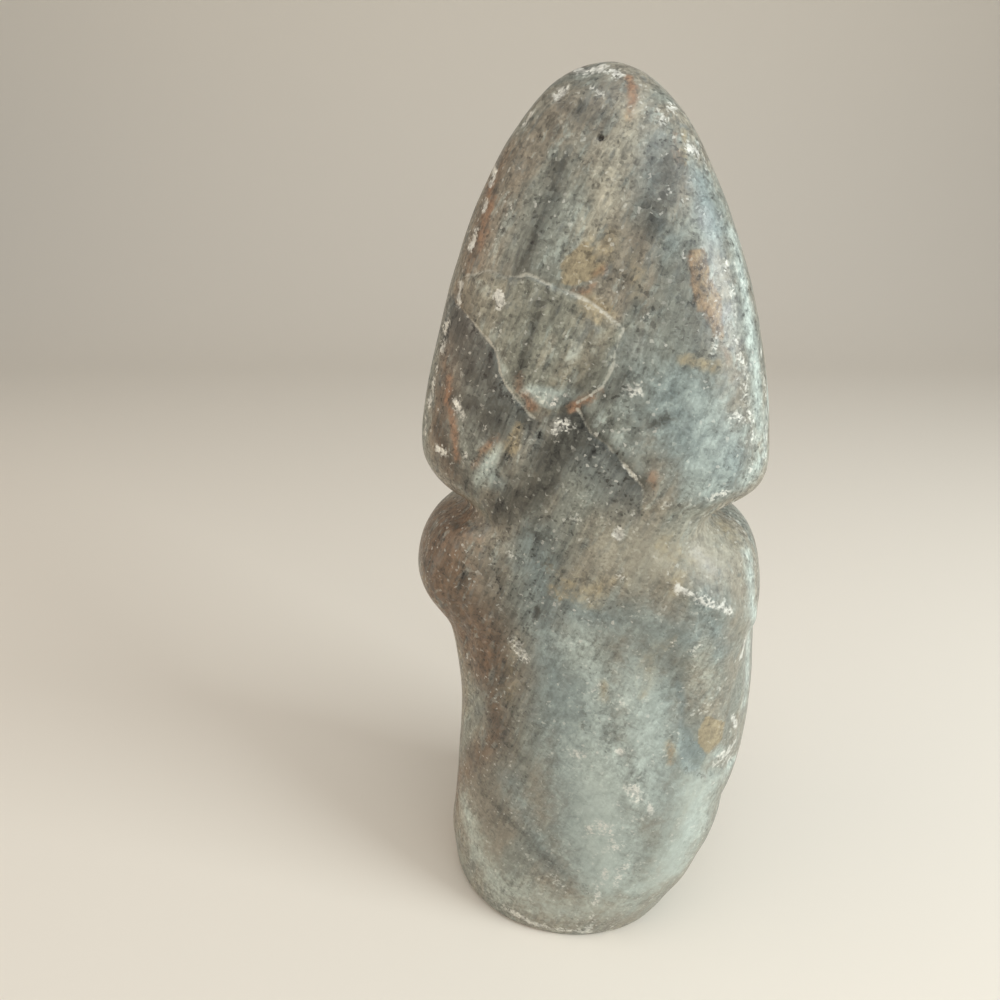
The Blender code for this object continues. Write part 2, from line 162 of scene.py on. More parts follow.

# Colours of the stone, and painted highlights, sheen, shade and a warm reflection, as strokes: points, half
# width in pixels, strength (1 is full).
RUST = (
    (((630, 79), (631, 91)), 5, 1.0), (((631, 91), (633, 103), (629, 117)), 7, 0.6),
    (((675, 134), (677, 150), (680, 164)), 6, 0.6), (((722, 346), (728, 362)), 7, 0.4),
    (((604, 268), (594, 275)), 6, 0.6), (((692, 256), (698, 296), (716, 326)), 7, 0.5),
    (((522, 375), (521, 388)), 6, 0.7), (((526, 397), (533, 409)), 6, 1.0),
    (((569, 408), (580, 403), (592, 397)), 6, 0.85), (((594, 396), (604, 386)), 5, 0.6),
    (((449, 381), (447, 404), (454, 427), (457, 458)), 6, 0.85), (((653, 476), (653, 486)), 7, 0.6),
    (((491, 186), (485, 215), (480, 238)), 11, 0.6), (((572, 290), (585, 294), (592, 286)), 5, 0.65),
    (((668, 742), (671, 765)), 4, 0.45), (((500, 437), (487, 450), (475, 465)), 6, 0.6),
    (((463, 516), (480, 540)), 12, 0.3), (((434, 530), (436, 560)), 12, 0.2),
    (((455, 640), (462, 700)), 10, 0.35), (((650, 860), (664, 876)), 9, 0.25),
)
OCHRE = (
    (((612, 236), (600, 252)), 14, 0.55), (((600, 238), (612, 250)), 12, 0.5),
    (((603, 682), (605, 698)), 7, 0.65), (((668, 740), (671, 762)), 6, 0.6),
    (((519, 427), (517, 440), (513, 452)), 8, 0.75), (((560, 582), (590, 592), (614, 588)), 20, 0.45),
    (((668, 540), (684, 560), (676, 580)), 16, 0.4), (((722, 522), (735, 540)), 16, 0.4),
    (((588, 304), (606, 312)), 12, 0.65), (((684, 132), (684, 166)), 5, 0.6),
    (((682, 358), (706, 362)), 8, 0.65), (((712, 366), (718, 362)), 6, 0.8),
    (((640, 690), (655, 660), (668, 640)), 14, 0.3), (((478, 458), (500, 448)), 8, 0.4),
    (((668, 830), (690, 800), (704, 782)), 16, 0.2), (((520, 640), (505, 700)), 16, 0.25),
    (((636, 260), (640, 300)), 10, 0.35), (((655, 900), (640, 908)), 12, 0.2),
    (((626, 118), (618, 140)), 6, 0.55),
)
WHITE = (
    (((576, 69), (588, 71), (600, 69)), 8, 1.0), (((556, 94), (563, 89)), 7, 1.0),
    (((523, 121), (528, 115)), 6, 1.0), (((612, 71), (620, 78)), 6, 0.6),
    (((593, 87), (602, 96)), 2.5, 0.9), (((660, 122), (672, 106)), 7, 0.5),
    (((684, 244), (685, 257)), 2.5, 0.9), (((455, 403), (460, 416)), 5, 0.85),
    (((464, 452), (465, 455)), 4, 0.9), (((494, 166), (491, 184)), 5, 1.0),
    (((483, 202), (482, 208)), 5, 1.0), (((474, 232), (470, 246)), 6, 1.0),
    (((459, 282), (457, 300)), 6, 0.85), (((444, 326), (442, 348)), 7, 1.0),
    (((436, 358), (437, 368)), 5, 0.8), (((433, 382), (429, 402)), 6, 1.0),
    (((425, 418), (424, 430)), 5, 0.85), (((437, 450), (443, 452)), 6, 1.0),
    (((499, 297), (501, 302)), 6, 1.0), (((690, 148), (699, 154)), 7, 0.75),
    # The strokes from (728, 264) down to (766, 455) near the right edge of the head are partly white crystal
    # and partly a painted sheen where the window light falls.
    (((700, 146), (706, 160)), 6, 0.55), (((728, 264), (733, 300), (735, 320)), 5, 0.42),
    (((738, 344), (744, 380), (748, 404)), 8, 0.4), (((736, 418), (750, 420)), 12, 0.48),
    (((752, 440), (750, 475)), 8, 0.35), (((761, 350), (768, 410), (766, 455)), 6, 0.55),
    (((716, 332), (712, 350)), 5, 0.6), (((630, 388), (638, 390)), 8, 0.75),
    # (690, 500)-(725, 494) and (642, 500)-(690, 503) are a painted highlight along the lower edge of the
    # right lobe, and (676, 585)-(728, 612) a painted highlight with white crystals along the elbow ridge.
    (((564, 426), (551, 430)), 7, 0.65), (((690, 500), (725, 494)), 5, 0.62),
    (((642, 500), (690, 503)), 4, 0.62), (((676, 585), (700, 599), (728, 612)), 5, 0.75),
    (((590, 433), (603, 444)), 2.5, 0.75), (((622, 463), (631, 474)), 3, 0.75),
    (((612, 450), (622, 462)), 2, 0.5), (((699, 612), (705, 614)), 3, 0.9),
    # (744, 640)-(741, 655), (733, 716)-(735, 724) and (729, 748)-(733, 744) are a painted highlight along the
    # forearm's outer edge.
    (((692, 652), (700, 645), (708, 641)), 4, 0.75), (((744, 640), (741, 655)), 5, 0.9),
    (((733, 716), (735, 724)), 4, 0.95), (((729, 748), (733, 744)), 6, 0.85),
    (((515, 640), (524, 656)), 8, 0.65), (((571, 514), (577, 518)), 6, 0.7),
    (((520, 560), (508, 552)), 5, 0.5), (((590, 690), (600, 684)), 5, 0.4),
    (((620, 750), (621, 752)), 5, 1.0), (((616, 533), (618, 535)), 6, 1.3),
    (((633, 788), (640, 798)), 8, 0.55), (((602, 826), (614, 850)), 10, 0.55),
    (((650, 806), (651, 814)), 4, 0.9), (((586, 828), (590, 832)), 4, 0.8),
    (((574, 754), (582, 752)), 7, 0.55), (((600, 700), (650, 705)), 10, 0.25),
    # The stroke along the bottom rim is a painted highlight on its edge.
    (((506, 908), (530, 921), (560, 930), (600, 933), (630, 925)), 4, 0.85),
    (((553, 880), (566, 886)), 6, 0.45), (((620, 575), (626, 580)), 4, 0.5),
    (((672, 640), (671, 650)), 5, 0.4), (((735, 500), (745, 515)), 5, 0.5),
)
DARK = (
    (((558, 165), (552, 195), (540, 220)), 11, 0.65), (((534, 235), (524, 258), (519, 270)), 9, 0.8),
    (((560, 104), (580, 110), (604, 114)), 7, 0.6), (((590, 112), (604, 118), (612, 128)), 14, 0.4),
    (((668, 165), (660, 195), (650, 222)), 20, 0.75), (((675, 270), (690, 330)), 30, 0.4),
    (((640, 232), (632, 262), (628, 290)), 10, 0.45),
    (((546, 292), (536, 318), (527, 350), (519, 372)), 6, 0.85), (((560, 300), (553, 318)), 5, 0.5),
    (((457, 318), (463, 345), (470, 372)), 18, 0.82), (((482, 348), (490, 372), (496, 396)), 13, 0.7),
    (((450, 400), (470, 410), (500, 424)), 17, 0.82), (((600, 366), (590, 384), (572, 392)), 11, 0.65),
    (((584, 108), (600, 124)), 15, 0.5), (((440, 425), (446, 455), (468, 485)), 15, 0.7),
    (((480, 412), (512, 410), (528, 420)), 12, 0.65), (((570, 414), (580, 430), (562, 446)), 20, 1.25),
    (((562, 446), (550, 470), (538, 486)), 16, 1.25), (((538, 486), (520, 500), (498, 512)), 19, 1.0),
    (((600, 436), (622, 462), (642, 486)), 11, 0.75), (((505, 420), (494, 440)), 8, 0.7),
    (((510, 446), (506, 470)), 6, 0.5), (((625, 372), (606, 396)), 8, 0.6),
    (((655, 428), (672, 418)), 7, 0.75), (((705, 322), (712, 318)), 9, 0.65),
    (((545, 540), (560, 565), (562, 585)), 8, 0.55), (((532, 530), (546, 545)), 7, 0.75),
    (((536, 606), (535, 616)), 5, 1.0), (((452, 522), (457, 526)), 5, 0.8),
    (((467, 574), (462, 590)), 6, 0.8), (((424, 556), (430, 580), (441, 605)), 5, 0.8),
    (((484, 600), (480, 640), (487, 680)), 12, 0.4), (((500, 705), (504, 722)), 9, 0.55),
    (((470, 750), (484, 790), (508, 820)), 10, 0.62), (((508, 820), (531, 845), (560, 872)), 9, 0.55),
    (((560, 872), (590, 890)), 8, 0.35), (((518, 744), (520, 760)), 8, 0.6),
    (((580, 704), (584, 728)), 5, 0.55), (((601, 634), (612, 652)), 12, 0.3),
    # The four wide strokes on these two lines are painted shade over the left of the back and body, on the
    # side away from the light.
    (((500, 590), (504, 680), (504, 750)), 34, 0.54), (((520, 500), (560, 560), (545, 610)), 30, 0.48),
    (((484, 765), (492, 820)), 24, 0.42), (((432, 520), (446, 570), (460, 620)), 26, 0.36),
    (((560, 82), (600, 86), (630, 92)), 15, 0.24), (((620, 500), (600, 480)), 20, 0.25),
    # (671, 640)-(689, 750) is painted shade in the forearm groove, and (690, 772)-(724, 770) a painted shadow
    # under the end of the hand.
    (((730, 150), (716, 160)), 5, 0.5), (((671, 640), (679, 690), (689, 750)), 6, 0.4),
    (((690, 772), (708, 776), (724, 770)), 5, 0.45), (((497, 740), (500, 700), (494, 650)), 12, 0.35),
    (((470, 600), (466, 640)), 5, 0.6),
)
PALE = (
    (((500, 885), (560, 912), (630, 905)), 30, 0.55), (((600, 175), (570, 215), (556, 262)), 10, 0.3),
    (((700, 400), (720, 440), (700, 480)), 36, 0.55), (((660, 360), (672, 440)), 30, 0.3),
    # These two strokes are a painted sheen along the right edge of the head, where the window light falls.
    (((736, 240), (752, 330), (760, 430)), 15, 0.9), (((768, 390), (766, 450), (750, 480)), 14, 0.85),
    (((645, 340), (640, 370)), 12, 0.3), (((530, 396), (552, 400), (572, 398)), 11, 1.0),
    (((496, 355), (508, 385)), 8, 0.7), (((470, 425), (480, 440)), 8, 0.3),
    (((500, 450), (489, 466), (478, 482)), 9, 0.85), (((596, 424), (620, 446)), 12, 0.45),
    (((582, 330), (576, 350), (566, 368)), 8, 0.55), (((604, 320), (598, 350)), 8, 0.35),
    (((575, 640), (600, 690), (590, 740)), 36, 0.65), (((635, 690), (650, 740), (640, 800)), 34, 0.75),
    (((700, 790), (690, 830), (670, 870)), 34, 0.95), (((600, 760), (605, 830), (610, 880)), 48, 0.85),
    # The first stroke is a painted highlight along the right edge of the shoulder and forearm.
    (((750, 560), (752, 620), (744, 700)), 15, 0.85), (((700, 645), (708, 700)), 15, 0.4),
    (((480, 850), (500, 880), (540, 900)), 26, 0.5), (((630, 890), (655, 885)), 26, 0.7),
    # (735, 760)-(722, 780) here and (720, 752)-(708, 764) below are a painted highlight on the end of the
    # right hand.
    (((640, 620), (640, 680)), 36, 0.35), (((735, 760), (722, 780)), 12, 0.7),
    (((720, 752), (708, 764)), 10, 0.7), (((650, 625), (668, 640)), 14, 0.35),
    (((580, 440), (560, 430)), 8, 0.35), (((474, 275), (482, 290)), 8, 0.45),
    (((560, 70), (610, 72)), 12, 0.35), (((464, 806), (476, 850), (502, 888)), 22, 0.7),
    (((520, 655), (515, 640)), 10, 0.4), (((540, 520), (575, 540)), 15, 0.15),
)
WARM = (
    # The first stroke here and those from (430, 510) to (474, 680) below, along the left edges of the head
    # and body, are partly rusty stone and partly a painted warm reflection and shade.
    (((500, 160), (480, 220), (462, 290), (446, 360), (436, 430), (450, 470)), 24, 0.75),
    (((560, 110), (530, 150), (510, 200)), 40, 0.34), (((600, 60), (560, 75)), 16, 0.45),
    (((660, 70), (690, 110)), 16, 0.3), (((430, 510), (438, 560), (452, 620), (458, 680)), 44, 1.25),
    (((458, 690), (456, 760), (457, 800)), 17, 0.85), (((480, 520), (478, 600), (474, 680)), 18, 0.45),
    (((640, 240), (650, 300), (640, 350)), 20, 0.4), (((590, 320), (600, 350)), 22, 0.35),
    (((680, 260), (700, 350)), 14, 0.3), (((505, 292), (530, 300)), 30, 0.3),
    (((640, 260), (600, 330)), 30, 0.3), (((500, 440), (480, 470)), 16, 0.35),
)
# Chalky tan stone, in strokes of the same kind.
CREAM = (
    (((625, 115), (612, 170), (600, 210), (580, 250)), 20, 0.8),
    (((551, 340), (545, 354), (541, 364)), 7, 0.85), (((577, 346), (572, 362)), 6, 0.6),
    (((590, 306), (604, 312)), 12, 0.55), (((470, 280), (490, 300)), 18, 0.4),
    (((610, 548), (660, 558), (730, 548)), 44, 0.62), (((600, 590), (640, 590)), 24, 0.3),
    (((606, 520), (580, 560)), 24, 0.3), (((700, 650), (706, 710)), 14, 0.5),
    (((520, 640), (505, 690)), 16, 0.4), (((655, 660), (650, 690)), 14, 0.4),
    (((700, 790), (680, 850), (650, 890)), 30, 0.38), (((500, 885), (560, 915), (630, 905)), 26, 0.42),
    (((466, 815), (478, 850), (500, 885)), 20, 0.5),
)
BLUE = (
    (((655, 150), (650, 200), (668, 240)), 26, 0.55), (((548, 200), (540, 240)), 18, 0.3),
    (((700, 180), (716, 230)), 20, 0.75), (((640, 350), (640, 400), (640, 450)), 34, 0.5),
    (((680, 400), (690, 430), (720, 470)), 44, 0.95), (((560, 340), (545, 380)), 14, 0.35),
    (((590, 470), (600, 500)), 24, 0.4), (((484, 462), (498, 484)), 15, 0.7),
    (((535, 545), (545, 600), (550, 660), (560, 720)), 32, 0.75),
    (((570, 612), (630, 622), (688, 645)), 34, 0.72), (((575, 700), (590, 800), (600, 860)), 50, 0.95),
    # (686, 735)-(690, 765) here and (680, 686)-(682, 732) below are blue-grey painted shade in the forearm
    # groove.
    (((650, 640), (650, 700), (650, 800)), 46, 0.65), (((686, 735), (690, 765)), 9, 1.0),
    (((680, 686), (682, 732)), 6, 0.9), (((698, 600), (712, 625), (720, 655)), 24, 0.62),
    (((510, 780), (530, 830), (560, 870)), 26, 0.55),
)
# Patches with a clear outline: the kind of colour, strength, outline.
OCHRE_PATCH = (
    (561, 262), (572, 251), (582, 241), (591, 246), (598, 262), (605, 265), (601, 276), (588, 281),
    (574, 287), (561, 284),
)
BROWN_BAND = (
    (687, 249), (704, 248), (709, 266), (713, 280), (722, 300), (725, 338), (718, 342), (712, 334),
    (706, 314), (696, 310), (692, 290), (689, 270),
)
FOREARM_OCHRE = ((706, 716), (725, 722), (722, 740), (708, 754), (698, 744), (698, 732))
# Blue-grey painted shade at the foot of the forearm groove.
FOREARM_BLUE = ((677, 742), (697, 740), (706, 756), (700, 770), (684, 772))
# A painted highlight on the end of the right hand.
HAND_WHITE = ((712, 758), (724, 750), (734, 748), (731, 760), (722, 768), (711, 768))
FLAKE_CHIP = (
    (534, 386), (541, 389), (548, 387), (556, 389), (565, 391), (574, 396), (567, 405), (554, 409),
    (541, 407), (535, 398),
)
PICTURE_PATCHES = (("ochre", 0.80, OCHRE_PATCH), ("ochre", 0.50, BROWN_BAND), ("rust", 0.30, BROWN_BAND),
                   ("warm", 0.95, BROWN_BAND), ("dark", 0.30, BROWN_BAND),
                   ("ochre", 0.82, FOREARM_OCHRE), ("blue", 0.90, FOREARM_BLUE), ("white", 0.50, HAND_WHITE),
                   ("pale", 1.0, FLAKE_CHIP), ("white", 0.26, FLAKE_CHIP))

# Where the stone is evenly coloured, in strokes of the same kind.
CALM = (
    (((690, 380), (700, 470)), 50, 0.5), (((640, 550), (720, 560)), 45, 0.65),
    (((570, 680), (580, 760)), 40, 0.75), (((570, 620), (680, 640)), 34, 0.45),
    (((650, 640), (650, 760)), 50, 0.7), (((590, 800), (600, 880)), 60, 1.0),
    (((690, 780), (660, 880)), 60, 1.0), (((480, 780), (500, 860)), 40, 0.75),
    (((735, 600), (730, 720)), 30, 0.6), (((540, 905), (640, 910)), 40, 0.8),
)
PICTURE_MARKS = {
    "calm": CALM, "cream": CREAM, "rust": RUST, "ochre": OCHRE, "white": WHITE, "dark": DARK, "pale": PALE,
    "warm": WARM, "blue": BLUE,
}
STROKE_FADE = 1.6                # a stroke fades out over this many times its half width
PATCH_EDGE_PIXELS = (-1.4, 2.0)  # where a patch's colour starts and is full, from its outline inwards
FLAKE_COLOUR_EDGE_PIXELS = (-1.0, 3.0)
HIDDEN_CALM = 0.35               # how even the stone is on the sides that the camera does not see
MARK_WANDER_MM = (0.75, 0.35)    # how far the edges of the marks wander, over long and short stretches
MARK_WANDER_WAVE_MM = (7.0, 2.2)


def camera_axes():
    """The camera's place, and the directions right, up and ahead in its picture."""
    away = Vector((-math.sin(CAMERA_TURN), math.cos(CAMERA_TURN), 0.0))
    right = Vector((away.y, -away.x, 0.0))
    ahead = away * math.cos(CAMERA_PITCH) - Vector((0.0, 0.0, math.sin(CAMERA_PITCH)))
    place = Vector((STONE_AXIS[0], STONE_AXIS[1], CAMERA_HEIGHT)) - away * CAMERA_AHEAD - right * CAMERA_ASIDE
    return place, right, right.cross(ahead), ahead


def smooth_step(low, high, value):
    share = np.clip((value - low) / (high - low), 0.0, 1.0)
    return share * share * (3.0 - 2.0 * share)


def noise_field(points, wave, shift=0.0):
    """Smooth noise between about -1 and 1 at each point, with waves about this long."""
    return np.array([noise.noise(point) for point in (points / wave + shift).tolist()])


def vertex_array(mesh, name):
    values = np.empty(len(mesh.vertices) * 3)
    mesh.vertices.foreach_get(name, values)
    return values.reshape(-1, 3)


def baked_copy(piece):
    """The piece's mesh with its modifiers applied."""
    graph = bpy.context.evaluated_depsgraph_get()
    return bpy.data.meshes.new_from_object(piece.evaluated_get(graph))


def fine_form(node):
    """A new piece with the solid's form, smooth and evenly divided."""
    mesh = bmesh.new()
    mesh.from_mesh(node.data)
    bmesh.ops.remove_doubles(mesh, verts=mesh.verts, dist=SAME_PLACE)
    bmesh.ops.join_triangles(mesh, faces=mesh.faces, angle_face_threshold=FLATTEST_JOIN,
                             angle_shape_threshold=SQUAREST_JOIN)
    crease = mesh.edges.layers.float.new("crease_edge")
    for edge in mesh.edges:
        if max(vert.co.z for vert in edge.verts) < FOOT_LEVEL and len(edge.link_faces) == 2:
            facings = [face.normal.z for face in edge.link_faces]
            if min(facings) < -FACING_DOWN < max(facings):
                edge[crease] = 1.0
    data = bpy.data.meshes.new("carved_stone")
    mesh.to_mesh(data)
    mesh.free()
    piece = bpy.data.objects.new("carved_stone", data)
    bpy.context.scene.collection.objects.link(piece)
    rounding = piece.modifiers.new("rounding", "SUBSURF")
    rounding.levels = rounding.render_levels = 2
    even = piece.modifiers.new("even", "REMESH")
    even.mode = "VOXEL"
    even.voxel_size = VOXEL
    smooth = piece.modifiers.new("smooth", "SMOOTH")
    smooth.factor = SMOOTHING
    smooth.iterations = SMOOTHING_ROUNDS
    piece.data = baked_copy(piece)
    piece.modifiers.clear()
    return piece


class Places:
    """Finds places on the stone's surface."""

    def __init__(self, mesh):
        points = vertex_array(mesh, "co")
        faces = [tuple(face.vertices) for face in mesh.polygons]
        self.tree = BVHTree.FromPolygons([Vector(point) for point in points], faces)
        self.camera, self.right, self.up, self.ahead = camera_axes()

    def towards(self, start, direction):
        return self.tree.ray_cast(start, direction)[0]

    def at_pixel(self, pixel):
        middle = PICTURE_SIZE / 2.0
        across = (pixel[0] - middle) / FOCAL_PIXELS
        down = (pixel[1] - middle) / FOCAL_PIXELS
        direction = (self.ahead + self.right * across - self.up * down).normalized()
        hit = self.towards(self.camera, direction)
        if hit is None:
            near_axis = (Vector((*STONE_AXIS, self.camera.z)) - self.camera).length
            hit = self.tree.find_nearest(self.camera + direction * near_axis / direction.dot(self.ahead))[0]
        return hit

    def pixel_size(self, place):
        """How long one pixel is on the stone at a place, in metres."""
        return (place - self.camera).dot(self.ahead) / FOCAL_PIXELS

    def on_front(self, across_and_up):
        across, up = across_and_up
        return self.towards(Vector((across * MM, -0.1, up * MM)), Vector((0.0, 1.0, 0.0)))

    def round_axis(self, degrees_and_up):
        degrees, up = degrees_and_up
        turn = math.radians(degrees)
        outward = Vector((math.sin(turn), -math.cos(turn), 0.0))
        middle = Vector((*STONE_AXIS, up * MM))
        return self.towards(middle + outward * 0.1, -outward)


def line_distance(points, line):
    """Distance from each point to a line of places."""
    line = np.array([tuple(place) for place in line])
    nearest = np.full(len(points), np.inf)
    for start, end in zip(line, line[1:]):
        along = end - start
        share = np.clip((points - start) @ along / max(along @ along, 1e-12), 0.0, 1.0)
        nearest = np.minimum(nearest, np.linalg.norm(points - start - share[:, None] * along, axis=1))
    return nearest


def between(line, cuts=3):
    """The line's points with evenly spaced ones between them."""
    finer = []
    for start, end in zip(line, line[1:]):
        for cut in range(cuts):
            share = cut / cuts
            finer.append(tuple(a + (b - a) * share for a, b in zip(start, end)))
    return finer + [line[-1]]


def front_marks(places):
    """The lines carved on the face, the arms and the hands: places, half width and height, in metres."""
    marks = []
    for line, half_width, height in FACE_MARKS:
        for side in (1.0, -1.0):
            mirrored = [(side * across, up) for across, up in between(line)]
            marks.append(([places.on_front(point) for point in mirrored], half_width * MM, height * MM))
    for line, half_width, height in ARM_LINES + RIGHT_FINGERS + LEFT_FINGERS:
        marks.append(([places.round_axis(point) for point in between(line)], half_width * MM, height * MM))
    return marks


def carved_marks(places):
    """Every carved or broken line on the stone: its places, half width and height, in metres."""
    marks = front_marks(places)
    for line, half_width, height in PICTURE_CARVING:
        marks.append(([places.at_pixel(pixel) for pixel in between(line)], half_width * MM, height * MM))
    for line in PICTURE_CRACKS:
        places_on_line = [places.at_pixel(pixel) for pixel in between(line, 2)]
        marks.append((places_on_line, CRACK_HALF_WIDTH_MM * MM, -CRACK_DEPTH_MM * MM))
    return marks


def pitted_marks(places):
    """Every chip and pit: its place, radius and depth, in metres."""
    hollows = PICTURE_CHIPS + PICTURE_PITS
    return [(places.at_pixel(pixel), radius * MM, depth * MM) for pixel, radius, depth in hollows]


def divide_near_marks(piece, marks, pits):
    """Divides the faces near the fine marks once more."""
    mesh = bmesh.new()
    mesh.from_mesh(piece.data)
    points = np.array([vert.co for vert in mesh.verts])
    near = np.zeros(len(points), bool)
    for line, half_width, _ in marks:
        if half_width < FINE_LINE:
            near |= line_distance(points, line) < FINE_REACH
    for place, radius, _ in pits:
        near |= np.linalg.norm(points - np.array(place), axis=1) < radius + CHIP_MARGIN
    mesh.verts.ensure_lookup_table()
    edges = [edge for edge in mesh.edges if near[edge.verts[0].index] and near[edge.verts[1].index]]
    bmesh.ops.subdivide_edges(mesh, edges=edges, cuts=1, use_grid_fill=True)
    mesh.to_mesh(piece.data)
    mesh.free()


def soften(piece, places):
    """Smooths the form round some places, fading out with the distance from each."""
    points = vertex_array(piece.data, "co")
    for number, (pixel, reach, rounds) in enumerate(SOFT_SHOULDER):
        distance = np.linalg.norm(points - np.array(places.at_pixel(pixel)), axis=1)
        share = 1.0 - smooth_step(SOFT_CORE * reach * MM, reach * MM, distance)
        group = piece.vertex_groups.new(name="soft_%d" % number)
        for index in np.flatnonzero(share > 0.01):
            group.add([int(index)], float(share[index]), "REPLACE")
        smooth = piece.modifiers.new(group.name, "SMOOTH")
        smooth.vertex_group = group.name
        smooth.factor = SMOOTHING
        smooth.iterations = rounds
    piece.data = baked_copy(piece)
    piece.modifiers.clear()
    piece.vertex_groups.clear()


def seen_pixels(points, places):
    """Where each point falls in the camera's picture."""
    away = points - np.array(places.camera)
    depth = away @ np.array(places.ahead)
    across = PICTURE_SIZE / 2.0 + FOCAL_PIXELS * (away @ np.array(places.right)) / depth
    down = PICTURE_SIZE / 2.0 - FOCAL_PIXELS * (away @ np.array(places.up)) / depth
    return across, down


def inside_outline(across, down, outline):
    """How far inside an outline each pixel lies, in pixels, below 0 outside."""
    inside = np.zeros(len(across), bool)
    nearest = np.full(len(across), np.inf)
    pixels = np.stack([across, down], 1)
    for (x1, y1), (x2, y2) in zip(outline, outline[1:] + outline[:1]):
        if y1 != y2:
            crosses = (down > min(y1, y2)) & (down <= max(y1, y2))
            inside ^= crosses & (across < x1 + (down - y1) * (x2 - x1) / (y2 - y1))
        nearest = np.minimum(nearest, line_distance(pixels, [(x1, y1), (x2, y2)]))
    return np.where(inside, nearest, -nearest)


def wandering(points):
    """The points moved a little by noise, so that what is measured from them has crooked edges."""
    moves = [noise_field(points, LINE_WANDER_WAVE_MM * MM, shift) for shift in (3.0, 7.0, 11.0)]
    return points + LINE_WANDER_MM * MM * np.stack(moves, 1)


def carve(piece, marks, pits, places):
    """Moves the surface in and out: hand-worked unevenness, carved lines, the flake, chips and pits."""
    points = vertex_array(piece.data, "co")
    normals = vertex_array(piece.data, "normal")
    height = np.zeros(len(points))
    for index, (wave, amount) in enumerate(UNEVENNESS):
        height += amount * MM * noise_field(points, wave * MM, 10.0 * index)
    wandered = wandering(points)
    for line, half_width, raised in marks:
        height += raised * np.exp(-((line_distance(wandered, line) / half_width) ** 2))
    for place, radius, depth in pits:
        distance = np.linalg.norm(3.0 * wandered - 2.0 * points - np.array(place), axis=1) / radius
        height -= depth * np.clip(1.0 - distance**2, 0.0, None)
    across, down = seen_pixels(points, places)
    facing = smooth_step(0.1, 0.3, -(normals @ np.array(places.ahead)))
    inside = inside_outline(across, down, PICTURE_FLAKE)
    raised = facing * smooth_step(-FLAKE_EDGE_PIXELS / 2, FLAKE_EDGE_PIXELS / 2, inside)
    height += FLAKE_RAISED_MM * MM * raised
    height *= smooth_step(0.0, FOOT_KEPT, points[:, 2])
    points += normals * height[:, None]
    piece.data.vertices.foreach_set("co", points.ravel())
    piece.data.update()
    piece.data.shade_smooth()


def paint_marks(piece, places):
    """Stores on each vertex how strongly each kind of mark colours the stone there."""
    mesh = piece.data
    points = vertex_array(mesh, "co")
    wandered = points.copy()
    for wave, amount in zip(MARK_WANDER_WAVE_MM, MARK_WANDER_MM):
        for axis in range(3):
            wandered[:, axis] += amount * MM * noise_field(points, wave * MM, 5.0 * axis + wave)
    facing = -(vertex_array(mesh, "normal") @ np.array(places.ahead))
    seen = smooth_step(0.0, 0.2, facing)
    hidden = smooth_step(0.25, -0.15, facing)
    across, down = seen_pixels(wandering(points), places)
    for name, strokes in PICTURE_MARKS.items():
        strength = np.zeros(len(points))
        for line, half_width, full in strokes:
            stroke = [places.at_pixel(pixel) for pixel in between(line)]
            radius = half_width * STROKE_FADE * places.pixel_size(stroke[len(stroke) // 2])
            share = np.clip(1.0 - line_distance(wandered, stroke) / radius, 0.0, 1.0)
            strength = np.maximum(strength, full * share)
        for kind, full, outline in PICTURE_PATCHES:
            if kind == name:
                inside = inside_outline(across, down, outline)
                strength = np.maximum(strength, full * seen * smooth_step(*PATCH_EDGE_PIXELS, inside))
        # The dark mark also carries painted shade in the carved lines of the face, the arms and the hands.
        if name == "dark":
            for line, half_width, height in front_marks(places):
                if height < 0.0:
                    beside = line_distance(points, line) / (LINE_SHADE_WIDTH * half_width)
                    line_shade = LINE_SHADE_DARKNESS * min(1.0, -height / DEEPEST_LINE)
                    strength = np.maximum(strength, line_shade * np.exp(-(beside**2)))
        if name == "calm":
            strength = np.maximum(strength, HIDDEN_CALM * hidden)
        store(mesh, name, strength)
    crack = np.full(len(points), np.inf)
    near_line = wandering(points)
    for line in PICTURE_CRACKS:
        places_on_line = [places.at_pixel(pixel) for pixel in between(line)]
        crack = np.minimum(crack, line_distance(near_line, places_on_line))
    store(mesh, "crack", np.clip(1.0 - crack / (CRACK_COLOUR_REACH_MM * MM), 0.0, 1.0))
    pixel, radius, _ = PICTURE_PITS[0]   # the only one that is black inside
    distance = np.linalg.norm(points - np.array(places.at_pixel(pixel)), axis=1)
    store(mesh, "pit", np.clip(1.5 - distance / (radius * MM), 0.0, 1.0))
    store(mesh, "hidden", hidden)
    shade = np.zeros(len(points))
    for line, outline, reach, strength in CRACK_SHADES:
        side = smooth_step(-SHADE_EDGE_PIXELS, SHADE_EDGE_PIXELS, inside_outline(across, down, outline))
        beside = np.clip(1.0 - line_distance(np.stack([across, down], 1), line) / reach, 0.0, 1.0)
        shade = np.maximum(shade, strength * side * beside * seen)
    store(mesh, "shade", shade)
    flake = smooth_step(*FLAKE_COLOUR_EDGE_PIXELS, inside_outline(across, down, PICTURE_FLAKE))
    store(mesh, "flake", seen * flake)


def store(mesh, name, values):
    attribute = mesh.attributes.new(name, "FLOAT", "POINT")
    attribute.data.foreach_set("value", values)


def display_colour(red, green, blue):
    """A colour as it looks on a screen, 0 to 255, as the linear colour that a shader takes."""
    linear = []
    for value in (red, green, blue):
        share = value / 255.0
        linear.append(share / 12.92 if share <= 0.04045 else ((share + 0.055) / 1.055) ** 2.4)
    return (*linear, 1.0)


